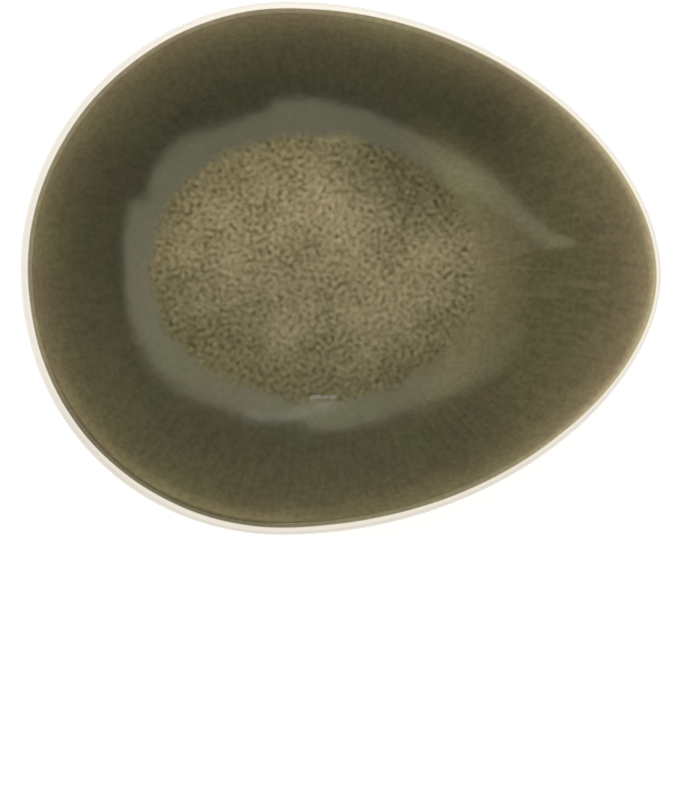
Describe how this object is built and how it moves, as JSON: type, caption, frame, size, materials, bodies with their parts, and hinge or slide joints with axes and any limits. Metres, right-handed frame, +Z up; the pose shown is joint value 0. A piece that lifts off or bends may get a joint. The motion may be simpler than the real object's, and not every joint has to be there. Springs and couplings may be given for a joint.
{
  "type": "dip bowl",
  "caption": "Small egg-shaped stoneware dip bowl on a low oval foot ring, ivory glazed outside and over the lip, with a dark olive inner wall and a mottled tan well.",
  "frame": {"origin": "on the table, under the middle of the rim's box in plan", "axes": "+X along the bowl towards its narrow tip, +Y across it to the back flank, +Z up"},
  "size_m": [0.112, 0.093, 0.0322],
  "materials": {
    "stoneware": "unglazed fired stoneware, dry and fine grained",
    "ivory_glaze": "glossy ivory glaze",
    "olive_glaze": "glossy dark olive reactive glaze with fine runs, breaking brown at the lip",
    "mottled_glaze": "satin tan reactive glaze with fine olive mottling"
  },
  "bodies": {
    "root": {"clay_body": "stoneware", "outer_glaze": "ivory_glaze", "wall_glaze": "olive_glaze", "well_glaze": "mottled_glaze", "base_glaze": "ivory_glaze"}
  },
  "joints": []
}
